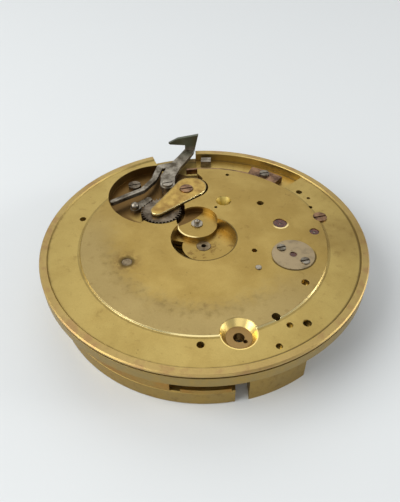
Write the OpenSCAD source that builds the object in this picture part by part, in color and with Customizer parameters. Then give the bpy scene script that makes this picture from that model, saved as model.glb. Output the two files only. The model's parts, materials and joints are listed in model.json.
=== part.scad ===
// Pocket watch movement, dial side up, with the winding stem's way along +Y.
// Millimetres. Z is 0 on the outer face of the back plate.

/* [Plates] */
// Main plate, diameter over the flange
plate_d = 43; // [42:0.1:46]
// Main plate, thickness
plate_h = 2.2; // [2.1:0.05:3]
// Raised lip, width
lip_w = 1.1; // [0.8:0.05:1.4]
// Inner disc, diameter
disc_d = 32.8; // [32:0.1:34]
// Channel between lip and inner disc, depth
channel_h = 0.2; // [0.1:0.05:0.3]
// Groove in the flange's edge, depth and width
groove = 0.25; // [0.1:0.05:0.4]
// Bevel on turned edges
bevel = 0.15; // [0.05:0.05:0.2]
// Back plate, diameter
back_d = 40.4; // [39.8:0.1:41]
// Back plate, thickness
back_h = 2.3; // [2.1:0.05:3]
// Space between the plates
pillar_h = 3.3; // [3.3:0.05:4]
// Pillar, diameter
pillar_d = 2.6; // [2.2:0.1:3]
// Pillars, inset of their centres from the back plate's edge
pillar_inset = 2.6; // [2:0.1:3]

/* [Recesses of the dial side] */
// Depth of the keyless recess and the motion-work pocket
recess_h = 1.6; // [1.5:0.05:1.65]
// Keyless recess, diameter
keyless_d = 14.8; // [14.4:0.1:15.2]
// Motion-work pocket, diameter
motion_d = 8.8; // [8.4:0.1:9.6]
// Spring channel, depth
spring_way_h = 1.3; // [1.2:0.05:1.5]
// Round sink, diameter
sink_d = 4.4; // [3.6:0.1:5]
// Round sink, depth
sink_h = 0.9; // [0.6:0.05:1.2]
// Dial-foot hole, diameter
dial_foot_d = 0.9; // [0.7:0.05:1.2]
// Dial-foot holes, inset of their centres from the plate's edge
dial_foot_inset = 4.1; // [3.8:0.1:4.4]

/* [Going train] */
// Centre to barrel, distance
barrel_reach = 10.8; // [10.6:0.05:10.9]
// Centre to third wheel, distance
third_reach = 8.45; // [8.3:0.05:8.6]
// Centre to fourth wheel, distance
fourth_reach = 10.97; // [10.9:0.05:11.2]
// Centre to escape wheel, distance
escape_reach = 10.87; // [10.75:0.05:11]
// Centre to pallets, distance
pallet_reach = 14.95; // [14.8:0.05:15.1]
// Centre to balance, distance
balance_reach = 12; // [11.9:0.05:12.1]
// Barrel, height
barrel_h = 2.1; // [1.8:0.05:2.2]
// Barrel, wall
barrel_wall = 0.5; // [0.35:0.05:0.7]
// Barrel and cover, floor thickness
barrel_floor = 0.3; // [0.25:0.05:0.4]
// Barrel, height of its toothed edge
barrel_tooth_h = 0.6; // [0.4:0.05:0.7]
// Train wheels, thickness
wheel_h = 0.25; // [0.2:0.01:0.28]
// Train wheels, rim width inside the teeth
wheel_rim = 0.45; // [0.3:0.05:0.6]
// Train pinions, length
pinion_h = 0.5; // [0.4:0.05:0.55]
// Train arbors, diameter
arbor_d = 0.6; // [0.5:0.05:0.7]
// Train pivots, diameter
pivot_d = 0.28; // [0.2:0.02:0.36]
// Barrel arbor, diameter at its bearings
barrel_arbor_d = 1.3; // [1:0.05:1.5]
// Barrel arbor, diameter of its hub
barrel_hub_d = 4; // [3:0.1:4.6]

/* [Escapement] */
// Pallet fork and stones, thickness
fork_h = 0.25; // [0.2:0.01:0.3]
// Impulse pin, distance from the balance staff
impulse_r = 1.1; // [1:0.05:1.2]
// Balance rim, outer diameter
rim_d = 14.4; // [13.8:0.1:14.6]
// Balance rim, width
rim_w = 0.6; // [0.4:0.05:0.8]
// Balance rim, height
rim_h = 0.55; // [0.4:0.05:0.6]
// Balance screws, how far the heads stand out
rim_screw_out = 0.55; // [0.3:0.05:0.6]
// Hairspring, turns
hairspring_turns = 6; // [4:1:6]
// Hairspring, outer radius
hairspring_r = 4.2; // [4.1:0.05:4.4]
// Hairspring, thickness of the strip
hairspring_w = 0.1; // [0.06:0.01:0.12]
// Balance cock, thickness of its arm
cock_arm_h = 0.55; // [0.4:0.05:0.55]
// Escapement cock, thickness
escape_cock_h = 0.4; // [0.3:0.05:0.42]

/* [Winding and setting] */
// Ratchet and crown wheel, thickness
winding_h = 0.5; // [0.4:0.05:0.55]
// Ratchet and crown wheel, depth of their sinks
winding_sink = 0.9; // [0.8:0.05:1]
// Seat of the minute wheel, distance from the centre
minute_reach = 3.9; // [3.8:0.05:4]
// Seat of the minute wheel, height above the pocket floor
seat_h = 0.7; // [0.5:0.05:0.9]
// Setting cock, how far it stands above the plate
setting_cock_up = 0.15; // [0.05:0.05:0.4]
// Setting cock, thickness over the wheel
setting_cock_h = 0.45; // [0.4:0.05:0.6]
// Setting lever, thickness
lever_h = 0.6; // [0.45:0.05:0.65]
// Thumb tab of the setting lever, height above the lever
tab_up = 2.6; // [2:0.05:3]
// Thumb tab, thickness
tab_t = 0.5; // [0.3:0.05:0.7]
// Setting spring, width of the strip
spring_w = 0.4; // [0.25:0.05:0.6]
// Setting spring, height
spring_h = 0.85; // [0.6:0.05:0.85]

/* [Jewels, screws and fits] */
// Train jewels, diameter
jewel_d = 1.2; // [1:0.05:1.3]
// Train jewels, thickness
jewel_h = 0.45; // [0.35:0.05:0.5]
// Escape jewel on the dial side, diameter
show_jewel_d = 1.9; // [1.6:0.05:2]
// Endstone cap, diameter
cap_d = 5.5; // [5:0.1:5.8]
// Endstone cap, thickness
cap_h = 0.35; // [0.25:0.05:0.45]
// Large screws, shank diameter
screw_d = 1; // [0.8:0.05:1.2]
// Large screws, head diameter
screw_head_d = 1.9; // [1.7:0.05:2]
// Large screws, head height
screw_head_h = 0.55; // [0.4:0.05:0.6]
// Screw slots, width and depth
slot = 0.22; // [0.15:0.01:0.28]
// Radial clearance of turning pivots
run_gap = 0.03; // [0.02:0.005:0.06]
// Gap between a turning piece and what lies beside it
side_gap = 0.1; // [0.06:0.01:0.12]
// Radial clearance of fixed pieces in their seats
seat_gap = 0.01; // [0.005:0.005:0.02]

/* [Hidden] */
$fn = 72;
over = 1;
far = 60;
tuck = 0.004;
hair = 0.001;
gilt = "goldenrod";
steel = "silver";
blued = "slateblue";
ruby = "crimson";

// Azimuths of the arbors about the centre, seen from the dial side
barrel_az = 191.5;
third_az = 56.2;
fourth_az = 28.2;
escape_az = 1.3;
pallet_az = -9.8;
balance_az = -30.5;
setting_az = 140.7;

// Leaves and teeth
barrel_n = 78;
centre_pinion_n = 14;
centre_n = 80;
third_pinion_n = 10;
third_n = 75;
fourth_pinion_n = 10;
fourth_n = 70;
escape_pinion_n = 7;
escape_n = 15;
cannon_n = 12;
minute_n = 36;
setting_n = 34;
ratchet_n = 66;
crown_n = 54;

// Tooth outline: half widths as a share of the pitch, heights in modules
tooth_foot = 0.24;
tooth_tip = 0.09;
addendum = 0.9;
dedendum = 1.15;

function polar(r, a) = [r * cos(a), r * sin(a)];
function turned(p, a) = [p.x * cos(a) - p.y * sin(a), p.x * sin(a) + p.y * cos(a)];
function azimuth(p, q) = atan2(q.y - p.y, q.x - p.x);
function apart(p, q) = norm(q - p);
// Pitch radius of the gear with n teeth, in mesh with m teeth at a distance d
function pitch_r(d, n, m) = d * n / (n + m);
function tip_r(r, n) = r + addendum * 2 * r / n;
function root_r(r, n) = r - dedendum * 2 * r / n;
// Turn of a gear with n2 teeth that lies at azimuth a from a gear with n1 teeth turned by p1
function mesh_turn(a, n1, p1, n2) = a + 180 - 180 / n2 + (a - p1) * n1 / n2;

// Radii of the plates
plate_r = plate_d / 2;
lip_r = plate_r - lip_w;
disc_r = disc_d / 2;
back_r = back_d / 2;
groove_down = 0.35;
// Seat for the case, turned into the underside of the flange
case_seat_h = 0.05;
case_play = 0.1;

// Levels
z_back = back_h;
z_main = back_h + pillar_h;
z_top = z_main + plate_h;
z_floor = z_top - recess_h;
z_channel = z_top - channel_h;

// Arbor places
centre_at = [0, 0];
barrel_at = polar(barrel_reach, barrel_az);
third_at = polar(third_reach, third_az);
fourth_at = polar(fourth_reach, fourth_az);
escape_at = polar(escape_reach, escape_az);
pallet_at = polar(pallet_reach, pallet_az);
balance_at = polar(balance_reach, balance_az);
minute_at = [0, minute_reach];

// Train wheels, pitch radii from the distances
barrel_r = pitch_r(barrel_reach, barrel_n, centre_pinion_n);
centre_pinion_r = barrel_reach - barrel_r;
centre_r = pitch_r(third_reach, centre_n, third_pinion_n);
third_pinion_r = third_reach - centre_r;
third_r = pitch_r(apart(third_at, fourth_at), third_n, fourth_pinion_n);
fourth_pinion_r = apart(third_at, fourth_at) - third_r;
fourth_r = pitch_r(apart(fourth_at, escape_at), fourth_n, escape_pinion_n);
escape_pinion_r = apart(fourth_at, escape_at) - fourth_r;
pallet_span = 60;
centre_shoulder_r = 0.95;
centre_arbor_d = 1.1;
centre_hub_d = 3.4;
centre_spoke_w = 0.7;
train_hub_d = 1.6;
train_spoke_w = 0.4;
train_spokes = 5;
escape_r = apart(escape_at, pallet_at) * cos(pallet_span / 2);

// Turns that put the teeth in mesh at rest
centre_pinion_turn = mesh_turn(azimuth(barrel_at, centre_at), barrel_n, 0, centre_pinion_n);
third_pinion_turn = mesh_turn(azimuth(centre_at, third_at), centre_n, 0, third_pinion_n);
fourth_pinion_turn = mesh_turn(azimuth(third_at, fourth_at), third_n, 0, fourth_pinion_n);
escape_pinion_turn = mesh_turn(azimuth(fourth_at, escape_at), fourth_n, 0, escape_pinion_n);

// Train levels, from the plates inwards
z_barrel = z_back + side_gap;
z_barrel_top = z_barrel + barrel_h;
z_centre = z_main - 0.7;
z_third = z_back + 0.65;
z_fourth = z_back + 1.6;
z_escape = z_back + 1.02;
z_fork = z_back + 0.65;
z_escape_cock = z_back + 0.12;
z_roller = z_back + 0.2;
z_balance = z_back - 0.95;
z_hairspring = z_back - 1.3;
z_cock_arm = 0.3;
roller_h = 0.25;
hairspring_h = 0.2;
balance_arm_h = 0.35;
escape_h = wheel_h;
impulse_gap = 0.04;

// Motion work and setting wheels
motion_m = 2 * minute_reach / (minute_n + cannon_n);
minute_r = motion_m * minute_n / 2;
setting_r = motion_m * setting_n / 2;
setting_at = minute_at + polar(minute_r + setting_r, setting_az);
setting_turn = mesh_turn(setting_az, minute_n, 0, setting_n);
z_motion = z_floor + 0.3;
setting_gap = 0.5;
centre_bore_d = 0.66;
centre_bore_h = 1.3;
z_centre_end = z_floor + 0.05;
minute_post_d = 0.7;
minute_collar_d = 1.6;
minute_seat_r = 2.85;
minute_collar_h = 0.2;
z_seat = z_floor + seat_h;
z_post = z_seat + 0.5;
setting_pin_d = 0.9;
setting_foot_d = 1.4;
z_setting_cock = z_top + setting_cock_up - setting_cock_h;
setting_h = z_setting_cock - side_gap - z_motion;

// Winding wheels, sunk in the outer face of the back plate
crown_reach = 11.63;
crown_az = 115.5;
crown_at = polar(crown_reach, crown_az);
winding_apart = apart(barrel_at, crown_at);
ratchet_r = pitch_r(winding_apart, ratchet_n, crown_n);
crown_r = winding_apart - ratchet_r;
crown_turn = mesh_turn(azimuth(barrel_at, crown_at), ratchet_n, 0, crown_n);
z_winding = winding_sink - side_gap - winding_h;
winding_gap = 0.25;
crown_core_d = 3;
crown_head_d = 4.2;
winding_thread_h = 0.9;
click_head_down = 0.08;

// Click, seen about the barrel arbor
click_az = 255;
click_nose_az = 235;
click_boss_r = 0.8;
click_nose_r = 0.3;
click_clear = 0.1;
ratchet_tip = tip_r(ratchet_r, ratchet_n);
click_reach = ratchet_tip + 1.6;
click_at = barrel_at + polar(click_reach, click_az);
click_nose_at = barrel_at + polar(ratchet_tip + click_clear + click_nose_r, click_nose_az);
click_way_in = 0.5;
click_nose_play = 6;
click_boss_play = 14;
click_foot_play = 3;
click_foot_w = 1.4;
click_spring_w = 0.18;
click_spring_foot = [288, 298];
click_spring_tip_az = 262;

// Screw and pin sizes that several pieces share
small_screw_d = 0.6;
small_head_d = 1.2;
small_head_h = 0.35;
pin_d = 0.76;
head_down = 0.1;

// Jewel seats and oil sinks
jewel_step = 0.15;
oil_d = jewel_d - 0.5;
oil_h = 0.4;
third_sink_d = 2.2;
fourth_sink_d = 1;
back_sink_d = 1.8;
show_jewel_down = 0.1;
show_jewel_step = 0.25;
endstone_d = 0.9;
cap_up = 0.05;
pivot_short = 0.05;

// Places on the dial side, as radius and azimuth
cock_screw_at = polar(plate_r - 5.58, -72.7);
cock_pins_at = [polar(plate_r - 3.86, -70.5), polar(plate_r - 2.06, -78.9)];
escape_screw_out = 5.85;
escape_screw_at = polar(escape_reach + escape_screw_out, 0.7);
sink_at = polar(disc_r, -90);
sink_floor_d = 3;
sink_hole_d = 1.3;
sink_side_hole_at = [0.55, -0.7];
sink_side_hole_d = 0.5;
sink_side_up = 0.5;
plate_pin_at = polar(8.98, -54);
plate_pin_up = 0.12;
dial_foot_az = [152.2, -105, 21.9];
pillar_az = [45, 145];
// Wall between the plates, left of the front, and the block in it that takes a pillar screw
wall_w = 1.3;
wall_clear = 0.35;
wall_end_az = -115;
wall_block_az = [-128, wall_end_az];
wall_in = back_r - wall_w;
barrel_clear = tip_r(barrel_r, barrel_n) + wall_clear;
// The wall starts where its inner corner clears the barrel
wall_start = acos((barrel_reach ^ 2 + wall_in ^ 2 - barrel_clear ^ 2) / (2 * barrel_reach * wall_in));
wall_az = [barrel_az - 360 + wall_start, wall_end_az];
wall_screw_az = -121.5;
low_wall_az = [-111.5, -95];
low_wall_h = 0.6;
pillar_screw_az = concat(pillar_az, [wall_screw_az]);
// Tapped hole and screw in a pillar, as shares of its height
pillar_tap = 0.7;
pillar_thread = 0.6;

// Plain holes of the dial side: radius, azimuth, diameter
plain_holes = [
    [7.1, -35.6, 0.7], [14.9, -47.9, 1], [plate_r - 4.9, 9.4, 0.6], [plate_r - 3.94, 15.7, 0.5],
    [plate_r - 2.9, -64.9, 1], [6.7, 61, 0.45], [14.9, 61.9, 0.6], [plate_r - 4.3, -87.5, 0.5]
];
plain_hole_h = 0.9;

// Keyless recess, rim gap and spring channel
keyless_at = [-4.04, 11.4];
rim_gap_az = [79.7, 98.8];
rim_gap_r = 14;
spring_way_az = [29, 85];
spring_way_r = disc_r - 0.2;
crescent_az = [150, 235];
crescent_r = [2.9, motion_d / 2];

// Setting cock: finger over the wheel, and foot
cock_finger_r = 0.95;
cock_tip_out = 0.7;
cock_foot_at = [0.85, 11.4];
cock_foot_r = 2.3;
cock_foot_gap = 0.3;
setting_screw_at = [0.1, 11];

// Setting lever: pivot eye, broad band out to the thumb tab, and the long left arm
lever_eye_at = [-2.35, 13.15];
lever_eye_r = 1.1;
lever_pin_d = 1;
lever_foot_d = 1.8;
lever_head_d = 1.6;
lever_head_h = 0.25;
lever_band = [[-1.9, 15.2], [-0.2, 17.8], [1.4, 19.6], [2.9, 21.6]];
lever_band_r = [1.1, 0.95, 0.9, 0.8];
lever_end_at = [3.1, plate_r + 0.6];
lever_end_r = 0.75;
lever_arm_gap = 0.2;
lever_arm_r = [0.5, 0.42, 0.38, 0.38, 0.34];
lever_tip_x = keyless_at.x - keyless_d / 2 + lever_arm_gap + lever_arm_r[4];
lever_arm = [[-2.6, 18.1], [-4.1, 15], [-6.2, 12.8], [-8.7, 11.9], [lever_tip_x, 11]];
lever_down = 0.05;
z_lever = z_top - lever_down - lever_h;
// Thumb tab: turn of its plane, and its outline along that plane
tab_turn = 164;
tab_stem = 0.75;
tab_low = 0.7;
tab_left = [3.2, 0.8];
tab_tip = [3.45, 1];
tab_crown = [1.9, 0.72];
tab_right_top = 1.45;

// Setting spring, about the centre
spring_r = disc_r + 0.4;
spring_az = [52, 85.5];
spring_foot_az = [36, 52];
spring_foot_w = 0.55 * (lip_r - disc_r);
spring_screw_az = 44;
spring_head_d = 1.5;
spring_down = 0.05;
z_spring = z_top - spring_way_h + spring_down;

// Small steel pieces of the keyless recess
block_reach = disc_r + 0.7 * (lip_r - disc_r);
block_az = 75;
block_size = [0.3 * (lip_r - disc_r), 1.6, 1];
yoke_at = [[-7.84, 10.02], [-5.6, 11.6]];
yoke_r = [0.7, 0.5];
yoke_h = 0.45;
yoke_stud_d = 1.2;
yoke_stud_h = 0.35;
recess_screw_at = [-7.1, 15.65];
recess_screw_h = 0.4;

// Balance, cock and regulator
balance_sweep = rim_d / 2 + rim_screw_out;
balance_gap = 0.45;
balance_hub_d = 2.2;
balance_arm_w = 1;
rim_screws = 14;
rim_screw_d = 0.5;
rim_thread_d = 0.25;
// Tapped hole and thread of a balance screw, as shares of the rim's width
rim_tap = 0.7;
rim_thread = 0.6;
staff_d = 0.8;
staff_pivot_d = 0.2;
collet_d = 1.2;
roller_d = 3;
impulse_d = 0.3;
cock_foot_az = [-100, -67.5];
cock_foot_in = 12.8;
cock_slit = 1.6;
cock_root_at = polar(16.4, -78.5);
cock_root_r = 2.4;
cock_end_r = 1.9;
cock_boss_d = 2.4;
z_regulator = 0.08;
regulator_h = 0.18;
regulator_d = 4;
regulator_turn = 60;
regulator_tail = 5.4;
curb_turn = -70;
curb_pin_d = 0.16;
curb_gap = 0.12;
stud_d = 0.5;
stud_gap = 0.05;
collet_gap = 0.15;
regulator_root_r = 0.7;
regulator_tip_r = 0.25;
curb_arm_r = 0.6;
cock_screw_down = 1.5;
cock_pin_down = 0.8;
cut_turn = -13;
arm_az = azimuth(balance_at, cock_root_at);

// Escapement cock
escape_foot_r = 1.2;
escape_cock_r = 1.05;
escape_tap_h = 2;
escape_thread_h = 1.8;
escape_hub_r = 0.9;
escape_rim = 0.66;
escape_spokes = 4;
escape_spoke_w = 0.4;
stone_r = 0.3;
stone_size = [1, 0.2];
stone_up = 0.05;
fork_hub_r = 0.55;
fork_root_r = 0.31;
fork_arm_r = 0.26;
fork_end_r = 0.42;
fork_slot = 0.36;
banking_at = 3.7;
banking_d = 0.4;
banking_swing = 5;
banking_gap = 0.03;
pallet_jewel_d = 1.3;
fork_az = azimuth(pallet_at, balance_at);
fork_reach = apart(pallet_at, balance_at) - impulse_r;

// Inner pieces of the barrel
barrel_in = root_r(barrel_r, barrel_n) - barrel_wall;
mainspring_turns = 7;
mainspring_w = 0.2;
mainspring_gap = 0.5;
barrel_play = 0.12;

// Shared shapes

module at(p, z = 0) {
    translate([p.x, p.y, z]) children();
}

// A round bar from one level to another
module bar(d, z0, z1) {
    translate([0, 0, z0]) cylinder(d = d, h = z1 - z0);
}

// A conical sink that opens upwards from z0 to z1
module cone(d0, d1, z0, z1) {
    translate([0, 0, z0]) cylinder(d1 = d0, d2 = d1, h = z1 - z0);
}

module plate(z, h) {
    translate([0, 0, z]) linear_extrude(h) children();
}

// Two discs joined by their tangents, which run a hair inside the discs so that the outlines cross cleanly
module link_2d(p, q, rp, rq) {
    a = azimuth(p, q);
    t = acos((rp - rq) / apart(p, q));
    ip = rp - tuck;
    iq = rq - tuck;
    translate(p) circle(rp);
    translate(q) circle(rq);
    polygon([p + polar(ip, a + t), p + polar(ip, a - t), q + polar(iq, a - t), q + polar(iq, a + t)]);
}

module wedge_2d(az) {
    polygon([[0, 0], polar(far, az[0]), polar(far * 1.5, (az[0] + az[1]) / 2), polar(far, az[1])]);
}

module ring_2d(r0, r1) {
    difference() {
        circle(r1);
        circle(r0);
    }
}

module arc_2d(r0, r1, az) {
    intersection() {
        ring_2d(r0, r1);
        wedge_2d(az);
    }
}

module gear_2d(n, r) {
    m = 2 * r / n;
    rise = [[-tooth_foot, -dedendum], [-tooth_tip, addendum]];
    fall = [[tooth_tip, addendum], [tooth_foot, -dedendum]];
    flank = concat(rise, fall);
    polygon([for (i = [0:n - 1]) for (c = flank) polar(r + c.y * m, (i + c.x) * 360 / n)]);
}

// A crossed-out wheel
module wheel(n, r, h, bore, hub, spokes, spoke_w) {
    linear_extrude(h) difference() {
        gear_2d(n, r);
        circle(d = bore);
        crossing_2d(hub / 2, root_r(r, n) - wheel_rim, spokes, spoke_w);
    }
}

module crossing_2d(r0, r1, spokes, w) {
    difference() {
        ring_2d(r0, r1);
        for (i = [0:spokes - 1]) rotate(i * 360 / spokes) translate([0, -w / 2]) square([r1 + over, w]);
    }
}

// A slotted screw whose head stands on z = 0, with the shank below
module screw(d, length, head_d, head_h) {
    difference() {
        union() {
            cylinder(d = head_d, h = head_h);
            translate([0, 0, -length]) cylinder(d = d, h = length + head_h / 2);
        }
        translate([-head_d, -slot / 2, head_h - slot]) cube([2 * head_d, slot, head_h]);
    }
}

module jewel(d, hole, h) {
    difference() {
        cylinder(d = d - 2 * seat_gap, h = h);
        translate([0, 0, -over]) cylinder(d = hole + 2 * run_gap, h = h + 2 * over);
    }
}

function spiral(r0, r1, turns, w, steps = 24) = concat(
    [for (i = [0:turns * steps]) polar(r0 + (r1 - r0) * i / (turns * steps) - w / 2, i * 360 / steps)],
    [for (i = [turns * steps:-1:0]) polar(r0 + (r1 - r0) * i / (turns * steps) + w / 2, i * 360 / steps)]
);

// Main plate

module flange_profile() {
    groove_z = z_top - groove_down;
    seat_z = z_main + case_seat_h;
    polygon([
        [0, z_main], [back_r + case_play, z_main], [back_r + case_play, seat_z],
        [plate_r - bevel, seat_z], [plate_r, seat_z + bevel],
        [plate_r, groove_z - groove], [plate_r - groove, groove_z - groove],
        [plate_r - groove, groove_z], [plate_r, groove_z],
        [plate_r, z_top - bevel], [plate_r - bevel, z_top], [lip_r + bevel, z_top],
        [lip_r, z_channel], [disc_r, z_channel], [disc_r - bevel, z_top], [0, z_top]
    ]);
}

module keyless_2d() {
    toward = azimuth(setting_at, cock_foot_at);
    intersection() {
        translate(keyless_at) circle(d = keyless_d);
        translate(setting_at) rotate(toward) translate([-far, 0]) square([2 * far, far]);
    }
    link_2d(setting_at, cock_foot_at, cock_finger_r + cock_foot_gap, cock_foot_r + cock_foot_gap);
    translate(setting_at) circle(tip_r(setting_r, setting_n) + setting_gap);
}

module motion_2d() {
    difference() {
        circle(d = motion_d);
        translate(minute_at) circle(minute_seat_r);
    }
}

module main_plate() {
    color(gilt) difference() {
        rotate_extrude() flange_profile();
        plate(z_floor, recess_h + over) keyless_2d();
        plate(z_floor, recess_h + over) motion_2d();
        plate(z_seat, recess_h + over) translate(minute_at) circle(minute_seat_r);
        plate(z_floor, recess_h + over) arc_2d(rim_gap_r, plate_r + over, rim_gap_az);
        plate(z_top - spring_way_h, spring_way_h + over)
            arc_2d(spring_way_r, lip_r + bevel / 2, spring_way_az);
        plate(z_main - over, plate_h) arc_2d(crescent_r[0], crescent_r[1], crescent_az);
        bar(2 * centre_shoulder_r + 2 * run_gap, z_main - over, z_top);
        at(barrel_at) bar(barrel_arbor_d + 2 * run_gap, z_main - over, z_top + over);
        at(third_at) deep_jewel_seat(third_sink_d);
        at(fourth_at) deep_jewel_seat(fourth_sink_d);
        at(escape_at) show_jewel_seat(show_jewel_d);
        at(pallet_at) show_jewel_seat(pallet_jewel_d);
        at(balance_at) {
            bar(cap_d + 2 * seat_gap, z_top - cap_h, z_top + over);
            bar(jewel_d, z_top - cap_h - jewel_h, z_top);
            bar(jewel_d - 2 * jewel_step, z_main - over, z_top);
            for (p = cap_screws_at) at(p) bar(small_screw_d, z_top - cap_h - plain_hole_h, z_top);
        }
        at(escape_screw_at) {
            bar(screw_head_d + 2 * seat_gap, z_top - screw_head_h, z_top + over);
            bar(screw_d + 2 * seat_gap, z_main - over, z_top);
        }
        at(cock_screw_at) bar(screw_d + 2 * seat_gap, z_main - over, z_top + over);
        for (p = cock_pins_at) at(p) bar(pin_d + 2 * seat_gap, z_main - over, z_top + over);
        at(sink_at) {
            cone(sink_floor_d, 2 * sink_d - sink_floor_d, z_top - sink_h, z_top + sink_h);
            bar(sink_hole_d, z_main - over, z_top);
            at(sink_side_hole_at) bar(sink_side_hole_d, z_main + sink_side_up, z_top);
        }
        at(recess_screw_at) bar(screw_d + 2 * seat_gap, z_floor - recess_screw_h, z_top);
        for (a = dial_foot_az) at(polar(plate_r - dial_foot_inset, a))
            bar(dial_foot_d, z_main - over, z_top + over);
        for (h = plain_holes) at(polar(h[0], h[1])) bar(h[2], z_top - plain_hole_h, z_top + over);
        at(plate_pin_at) bar(pin_d + 2 * seat_gap, z_top - plain_hole_h, z_top + over);
        for (p = banking_places()) at(p) bar(banking_d + 2 * seat_gap, z_main - over, z_main + jewel_h);
    }
}

// Seat of a jewel in the inner face, with an oil sink above it
module deep_jewel_seat(sink) {
    bar(jewel_d, z_main - over, z_main + jewel_h);
    bar(jewel_d - 2 * jewel_step, z_main, z_main + jewel_h + oil_h);
    cone(oil_d, sink, z_main + jewel_h, z_top + hair);
}

// Seat of a jewel in the dial side, with a way for the arbor below it
module show_jewel_seat(d) {
    bar(d, z_top - jewel_h - show_jewel_down, z_top + over);
    bar(d - 2 * show_jewel_step, z_main - over, z_top);
}

// Back plate and pillars

module balance_cut_2d() {
    b = turned(balance_at, -cut_turn);
    r = balance_sweep + balance_gap;
    rotate(cut_turn) {
        translate(b) circle(r);
        translate([b.x - r, -far]) square([2 * far, far + b.y]);
        translate([b.x, b.y - far]) square([far, far + r]);
    }
}

module click_way_2d() {
    translate(barrel_at) {
        arc_2d(ratchet_tip - click_way_in, click_reach,
            [click_nose_az - click_nose_play, click_az - click_boss_play + 1]);
        arc_2d(ratchet_tip - click_way_in, click_reach + click_boss_r + click_clear,
            [click_az - click_boss_play, click_spring_foot[1] + click_foot_play]);
    }
}

module back_plate() {
    color(gilt) difference() {
        rotate_extrude() polygon([
            [0, 0], [back_r - bevel, 0], [back_r, bevel],
            [back_r, back_h - bevel], [back_r - bevel, back_h], [0, back_h]
        ]);
        plate(-over, back_h + 2 * over) balance_cut_2d();
        plate(-over, winding_sink + over) {
            translate(barrel_at) circle(ratchet_tip + winding_gap);
            translate(crown_at) circle(tip_r(crown_r, crown_n) + winding_gap);
            click_way_2d();
        }
        at(barrel_at) bar(barrel_arbor_d + 2 * run_gap, -over, back_h + over);
        at(centre_at) bar(arbor_d + 2 * run_gap, back_h / 2 - side_gap, back_h + over);
        for (p = [third_at, fourth_at]) at(p) {
            bar(jewel_d, z_back - jewel_h, z_back + over);
            bar(jewel_d - 2 * jewel_step, z_back - jewel_h - oil_h, z_back);
            cone(back_sink_d, oil_d, -hair, z_back - jewel_h);
        }
        for (a = pillar_screw_az) at(pillar_place(a)) {
            bar(screw_d + 2 * seat_gap, -over, back_h + over);
            bar(screw_head_d + 2 * seat_gap, -over, screw_head_h + head_down);
        }
        at(crown_at) bar(screw_d + 2 * seat_gap, 0, back_h + over);
        at(click_at) bar(small_screw_d + 2 * seat_gap, 0, back_h + over);
        at(click_foot_at()) bar(small_screw_d + 2 * seat_gap, 0, back_h + over);
    }
}

function pillar_place(a) = polar(back_r - pillar_inset, a);
function click_foot_at() = barrel_at + polar(click_reach, (click_spring_foot[0] + click_spring_foot[1]) / 2);

module pillars() {
    color(gilt) difference() {
        union() {
            for (a = pillar_az) at(pillar_place(a)) bar(pillar_d, z_back, z_main);
            plate(z_back, pillar_h) {
                arc_2d(wall_in, back_r, wall_az);
                arc_2d(back_r - pillar_inset - pillar_d / 2, back_r, wall_block_az);
            }
            plate(z_back, low_wall_h) arc_2d(wall_in, back_r, low_wall_az);
        }
        for (a = pillar_screw_az) at(pillar_place(a))
            bar(screw_d + 2 * seat_gap, z_back - over, z_back + pillar_h * pillar_tap);
    }
}

module pillar_screws() {
    length = back_h - screw_head_h + pillar_h * pillar_thread;
    color(blued) for (a = pillar_screw_az) at(pillar_place(a), screw_head_h + head_down)
        mirror([0, 0, 1]) screw(screw_d, length, screw_head_d, screw_head_h);
}

// Balance cock, regulator and hairspring

module cock_foot_2d() {
    b = turned(balance_at, -cut_turn);
    difference() {
        arc_2d(cock_foot_in, back_r, cock_foot_az);
        translate(balance_at) circle(balance_sweep + balance_gap);
        rotate(cut_turn) translate([b.x - balance_sweep - balance_gap + cock_slit - far, -far])
            square([far, far]);
    }
}

module balance_cock() {
    color(gilt) difference() {
        union() {
            plate(0, z_main) cock_foot_2d();
            plate(z_cock_arm, cock_arm_h) intersection() {
                circle(back_r);
                link_2d(cock_root_at, balance_at, cock_root_r, cock_end_r);
            }
            at(balance_at) bar(cock_boss_d, z_regulator - run_gap, z_cock_arm + cock_arm_h);
        }
        at(balance_at) bar(jewel_d, -over, z_cock_arm + cock_arm_h + over);
        at(cock_screw_at) {
            bar(screw_d + 2 * seat_gap, -over, z_main + over);
            bar(screw_head_d + 2 * seat_gap, -over, screw_head_h + head_down);
        }
        for (p = cock_pins_at) at(p) bar(pin_d + 2 * seat_gap, z_main / 2, z_main + over);
        at(stud_at()) bar(stud_d + 2 * seat_gap, -over, z_main);
    }
}

module cock_screw() {
    color(steel) at(cock_screw_at, screw_head_h + head_down)
        mirror([0, 0, 1]) screw(screw_d, z_top - cock_screw_down - screw_head_h, screw_head_d, screw_head_h);
}

module cock_pins() {
    color(gilt) for (p = cock_pins_at) at(p) bar(pin_d, z_main / 2, z_top - cock_pin_down);
}

function stud_at() = balance_at + polar(hairspring_r + hairspring_w / 2 + stud_d / 2 + stud_gap, arm_az);

module hairspring_stud() {
    color(steel) at(stud_at()) bar(stud_d, z_cock_arm, z_hairspring + hairspring_h);
}

module hairspring() {
    r0 = collet_d / 2 + collet_gap;
    pitch = (hairspring_r - r0) / hairspring_turns;
    echo("hairspring, least gap between its turns", pitch - hairspring_w);
    color(blued) at(balance_at, z_hairspring) rotate(arm_az) linear_extrude(hairspring_h)
        polygon(spiral(r0, hairspring_r, hairspring_turns, hairspring_w));
}

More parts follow.
